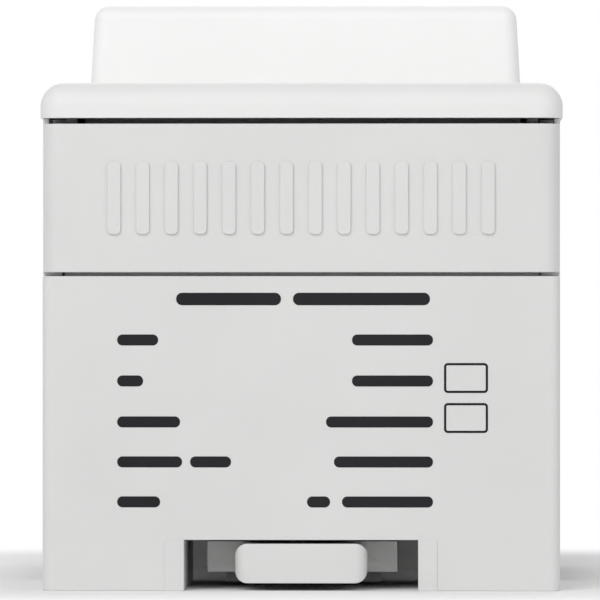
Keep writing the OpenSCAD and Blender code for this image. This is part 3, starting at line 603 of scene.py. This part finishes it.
def make_coil(joint, name, wire_r):
    """Round wire coil along Y, built in the box of its joint's spring node."""
    spring = JOINTS[joint]["deforming_nodes"][0]
    low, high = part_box(spring["node"])
    middle = (low + high) / 2
    coil_r = (high.z - low.z) / 2 - wire_r
    bm = bmesh.new()
    start = Matrix.Translation((middle.x + coil_r, low.y + wire_r, middle.z))
    ring = bmesh.ops.create_circle(bm, segments=COIL_SIDES, radius=wire_r, matrix=start)
    steps = COIL_STEPS * COIL_TURNS
    rise = (high.y - low.y - 2 * wire_r) / steps
    bmesh.ops.spin(
        bm, geom=ring["verts"] + bm.edges[:], cent=middle, axis=(0, 1, 0), angle=2 * math.pi * COIL_TURNS,
        steps=steps, dvec=(0, rise, 0),
    )
    close_rims(bm)
    bmesh.ops.recalc_face_normals(bm, faces=bm.faces)
    coil = piece(name, bm, SPRING_WIRE, "housing", spring["node"], even_normals=False)
    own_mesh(coil)


make_coil("clip_release", "clip_coil", CLIP_WIRE_R)
for i in PHASES:
    make_coil(f"trip_{i}", f"trip_coil_{i}", TRIP_WIRE_R)


# Print on the end wall: plain bars and frames, at pixels of the photograph

INK_PROUD = 0.02 * MM
TITLE_HEIGHT = 1.3 * MM
ROW_HEIGHT = 1.15 * MM
END_ROUNDING = 0.48
TITLE_ROW = 299
TITLE_BARS = [(176, 281), (293, 430)]
TABLE_ROWS = [340, 381, 422, 462, 502]
LEFT_BARS = [[(117, 158)], [(117, 143)], [(117, 180)], [(117, 182), (190, 231)], [(117, 160)]]
RIGHT_BARS = [[(352, 433)], [(352, 433)], [(326, 433)], [(334, 433)], [(307, 330), (342, 433)]]
FRAME_COLUMNS = (444, 488)
FRAME_ROWS = [(363, 393), (403, 433)]
FRAME_LINE = 0.24 * MM
FRAME_CORNER = 0.4 * MM


def print_bar(bm, left, right, row, height):
    """One bar with round ends, between two pixel columns on a pixel row."""
    size = Matrix.Diagonal((wall_x(right) - wall_x(left), 2 * INK_PROUD, height, 1))
    place = Matrix.Translation((wall_x((left + right) / 2), END_WALL_Y, wall_z(row)))
    made = bmesh.ops.create_cube(bm, size=1, matrix=place @ size)
    edges = {edge for vert in made["verts"] for edge in vert.link_edges}
    through = [edge for edge in edges if near(edge.calc_length(), 2 * INK_PROUD)]
    round_over(bm, through, END_ROUNDING * height, segments=8)


def print_frame(bm, left, right, top, bottom):
    """One outlined box with round corners."""
    size = Matrix.Diagonal((wall_x(right) - wall_x(left), wall_z(top) - wall_z(bottom), 1, 1))
    place = Matrix.Translation((wall_x((left + right) / 2), END_WALL_Y, wall_z((top + bottom) / 2)))
    turn = Matrix.Rotation(math.radians(90), 4, "X")
    made = bmesh.ops.create_grid(bm, x_segments=1, y_segments=1, size=0.5, matrix=place @ turn @ size)
    rounded = round_over(bm, made["verts"], FRAME_CORNER, segments=5, affect="VERTICES")
    panel = rounded["verts"][0].link_faces[0]
    line = bmesh.ops.inset_individual(bm, faces=[panel], thickness=FRAME_LINE)["faces"]
    bmesh.ops.delete(bm, geom=[panel], context="FACES_ONLY")
    bmesh.ops.solidify(bm, geom=line, thickness=-INK_PROUD)


def make_print():
    """The table of plain bars and the two empty frames on the end wall."""
    bm = bmesh.new()
    for left, right in TITLE_BARS:
        print_bar(bm, left, right, TITLE_ROW, TITLE_HEIGHT)
    for row, lefts, rights in zip(TABLE_ROWS, LEFT_BARS, RIGHT_BARS):
        for left, right in lefts + rights:
            print_bar(bm, left, right, row, ROW_HEIGHT)
    for top, bottom in FRAME_ROWS:
        print_frame(bm, *FRAME_COLUMNS, top, bottom)
    bmesh.ops.recalc_face_normals(bm, faces=bm.faces)
    piece("end_wall_print", bm, BLACK_INK, "housing")


make_print()


# Floor, light and camera

FLOOR_RADIUS = 1500 * MM
FLOOR_FADE = 35 * MM
FLOOR_COLOUR = (0.93, 0.93, 0.93, 1)
WORLD_STRENGTH = 0.5
LAMP_AIM = Vector((0, 0, 30 * MM))
LAMP_SIZE = 500 * MM
CAMERA_DISTANCE = 700 * MM
CAMERA_X = 14 * MM
SENSOR_WIDTH = 36


def directly_seen(tree):
    """1 where a surface is looked at, mirrored or looked through, and 0 where it only gives light."""
    path = tree.nodes.new("ShaderNodeLightPath")
    seen = arithmetic(tree, "MAXIMUM", path.outputs["Is Camera Ray"], path.outputs["Is Glossy Ray"])
    return arithmetic(tree, "MAXIMUM", seen, path.outputs["Is Transmission Ray"])


def floor_paper(name):
    """White floor that keeps shadows near the object and fades into the white background."""
    material = bpy.data.materials.new(name)
    material.use_nodes = True
    tree = material.node_tree
    tree.nodes.clear()
    output = tree.nodes.new("ShaderNodeOutputMaterial")
    paper = tree.nodes.new("ShaderNodeBsdfDiffuse")
    paper.inputs["Color"].default_value = FLOOR_COLOUR
    white = tree.nodes.new("ShaderNodeEmission")
    white.inputs["Strength"].default_value = 1.0
    away = vector_step(tree, "ABSOLUTE", object_place(tree)).outputs["Vector"]
    away = vector_step(tree, "SUBTRACT", away, (COVER_HIGH.x, COVER_HIGH.y, 0)).outputs["Vector"]
    away = vector_step(tree, "MAXIMUM", away).outputs["Vector"]
    distance = vector_step(tree, "LENGTH", away).outputs["Value"]
    fade = smooth_rise(tree, distance, 0.0, FLOOR_FADE)
    mix = tree.nodes.new("ShaderNodeMixShader")
    tree.links.new(arithmetic(tree, "MULTIPLY", fade, directly_seen(tree)), mix.inputs["Fac"])
    tree.links.new(paper.outputs["BSDF"], mix.inputs[1])
    tree.links.new(white.outputs["Emission"], mix.inputs[2])
    tree.links.new(mix.outputs["Shader"], output.inputs["Surface"])
    return material


def make_floor():
    """Round floor under the object."""
    bm = bmesh.new()
    bmesh.ops.create_circle(bm, cap_ends=True, segments=96, radius=FLOOR_RADIUS)
    placed("floor", bm, floor_paper("white_floor"))


def make_world():
    """Even studio light, white where it is seen, mirrored or looked through."""
    world = bpy.data.worlds.new("studio")
    bpy.context.scene.world = world
    world.use_nodes = True
    tree = world.node_tree
    background = tree.nodes["Background"]
    background.inputs["Color"].default_value = (1, 1, 1, 1)
    level = tree.nodes.new("ShaderNodeMapRange")
    level.inputs["To Min"].default_value = WORLD_STRENGTH
    level.inputs["To Max"].default_value = 1.0
    tree.links.new(directly_seen(tree), level.inputs["Value"])
    tree.links.new(level.outputs["Result"], background.inputs["Strength"])


def aim(obj, place, target):
    """Puts a lamp or a camera at a place, turned towards a target."""
    obj.location = place
    obj.rotation_euler = (target - obj.location).to_track_quat("-Z", "Y").to_euler()
    bpy.context.scene.collection.objects.link(obj)


def soft_box(name, place, power):
    """A square soft box aimed at the object's middle."""
    lamp = bpy.data.lights.new(name, "AREA")
    lamp.shape = "SQUARE"
    lamp.size = LAMP_SIZE
    lamp.energy = power
    aim(bpy.data.objects.new(name, lamp), place, LAMP_AIM)


def make_camera():
    """Camera before the end wall, a little to its right, framed as the photograph is."""
    view = bpy.data.cameras.new("photo_camera")
    view.sensor_width = SENSOR_WIDTH
    view.lens = SENSOR_WIDTH * CAMERA_DISTANCE / (PHOTO_SIZE / PIXELS_PER_MM * MM)
    view.clip_start = 10 * MM
    middle = Vector((wall_x(PHOTO_SIZE / 2), END_WALL_Y, wall_z(PHOTO_SIZE / 2)))
    camera = bpy.data.objects.new("photo_camera", view)
    aim(camera, (CAMERA_X, END_WALL_Y - CAMERA_DISTANCE, middle.z), middle)
    bpy.context.scene.camera = camera


make_floor()
make_world()
soft_box("key", place=(-0.3, -0.7, 0.5), power=2.9)
soft_box("fill", place=(0.45, -0.7, 0.35), power=0.9)
soft_box("back", place=(0.1, 0.7, 0.45), power=1.3)
make_camera()
bpy.context.scene.view_settings.view_transform = "Standard"
